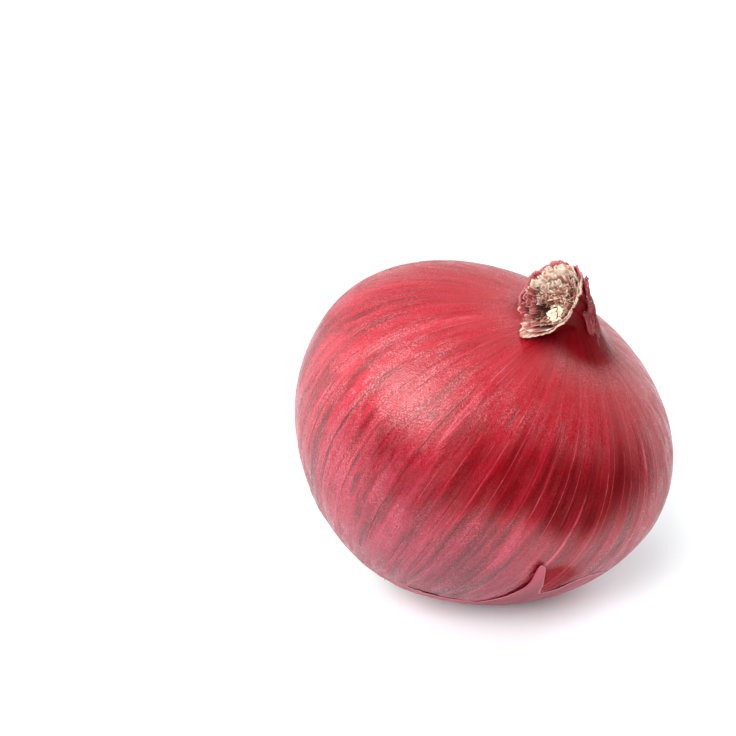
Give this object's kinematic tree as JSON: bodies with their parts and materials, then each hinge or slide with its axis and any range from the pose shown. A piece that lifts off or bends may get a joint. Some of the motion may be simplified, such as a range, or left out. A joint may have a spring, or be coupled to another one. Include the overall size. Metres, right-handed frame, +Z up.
{
  "type": "red onion",
  "caption": "Whole dry red onion lying tilted on a small flat spot, with a cut dry neck and torn papery skin round its base.",
  "frame": {"origin": "on the table, under the middle of the bounding box of the onion as it rests", "axes": "+Z up from the table, -Y towards the side that the cut neck faces, +X towards the side that the neck leans over"},
  "size_m": [0.0818, 0.0748, 0.0798],
  "materials": {
    "onion_skin": "glossy, waxy dry skin, crimson with darker and paler veins",
    "papery_skin": "thin satin papery skin, pink to maroon",
    "dry_neck": "matte, fibrous, cream to tan",
    "dry_roots": "matte, corky plate with straw-coloured root stubs"
  },
  "bodies": {
    "root": {"bulb": "onion_skin", "base_skin": "papery_skin", "neck_sheath": "papery_skin", "neck_core": "dry_neck", "neck_scrap_1": "papery_skin", "neck_scrap_2": "papery_skin", "neck_scrap_3": "papery_skin", "root_tuft": "dry_roots"}
  },
  "joints": []
}
